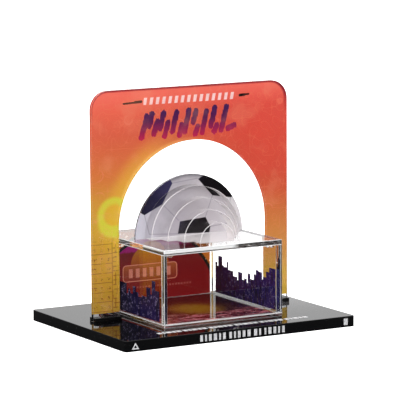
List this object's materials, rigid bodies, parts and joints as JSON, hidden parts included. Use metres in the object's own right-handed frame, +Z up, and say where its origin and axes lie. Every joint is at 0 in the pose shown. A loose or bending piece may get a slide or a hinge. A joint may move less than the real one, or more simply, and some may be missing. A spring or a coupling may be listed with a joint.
{
  "type": "football display case",
  "caption": "Clear acrylic display case on a glossy black base, with a printed arch panel around it and a lift-off lid that carries a half football of stacked clear half-discs.",
  "frame": {"origin": "centre of the base plate's underside", "axes": "+Z up, +X to the right, -Y towards the front, where the smallest half-disc and the marks on the base are"},
  "size_m": [0.26, 0.1982, 0.239],
  "materials": {
    "black_acrylic": "polished black cast acrylic",
    "clear_acrylic": "polished clear cast acrylic",
    "black_strip": "polished black acrylic strip",
    "arch_print": "printed film, coral and red above, orange and ochre on the legs",
    "floor_print": "printed film, maroon with a warm glow and a pink ring",
    "back_print": "printed film, dark red with a magenta top",
    "skyline_print": "printed film, near-black to indigo",
    "white_vinyl": "matt white vinyl",
    "ball_print": "printed film, light grey with dark football panels"
  },
  "bodies": {
    "stand": {"base_plate": "black_acrylic", "arch_panel": "clear_acrylic", "arch_film": "arch_print", "left_front_foot_strip": "black_strip", "left_rear_foot_strip": "black_strip", "right_front_foot_strip": "black_strip", "right_rear_foot_strip": "black_strip", "case_floor": "clear_acrylic", "case_front_wall": "clear_acrylic", "case_back_wall": "clear_acrylic", "case_left_wall": "clear_acrylic", "case_right_wall": "clear_acrylic", "floor_film": "floor_print", "back_film": "back_print", "left_skyline_film": "skyline_print", "right_skyline_film": "skyline_print", "edge_marks": "white_vinyl", "top_marks": "white_vinyl"},
    "lid": {"lid_plate": "clear_acrylic", "lid_locating_pegs": "clear_acrylic", "ball_disc": "clear_acrylic", "ball_film": "ball_print", "ball_layer_1": "clear_acrylic", "ball_layer_2": "clear_acrylic", "ball_layer_3": "clear_acrylic", "ball_layer_4": "clear_acrylic"}
  },
  "joints": [
    {"name": "lid_lift", "type": "slide", "parent": "stand", "child": "lid", "axis": [0, 0, 1], "range_m": [0, 0.04]}
  ]
}
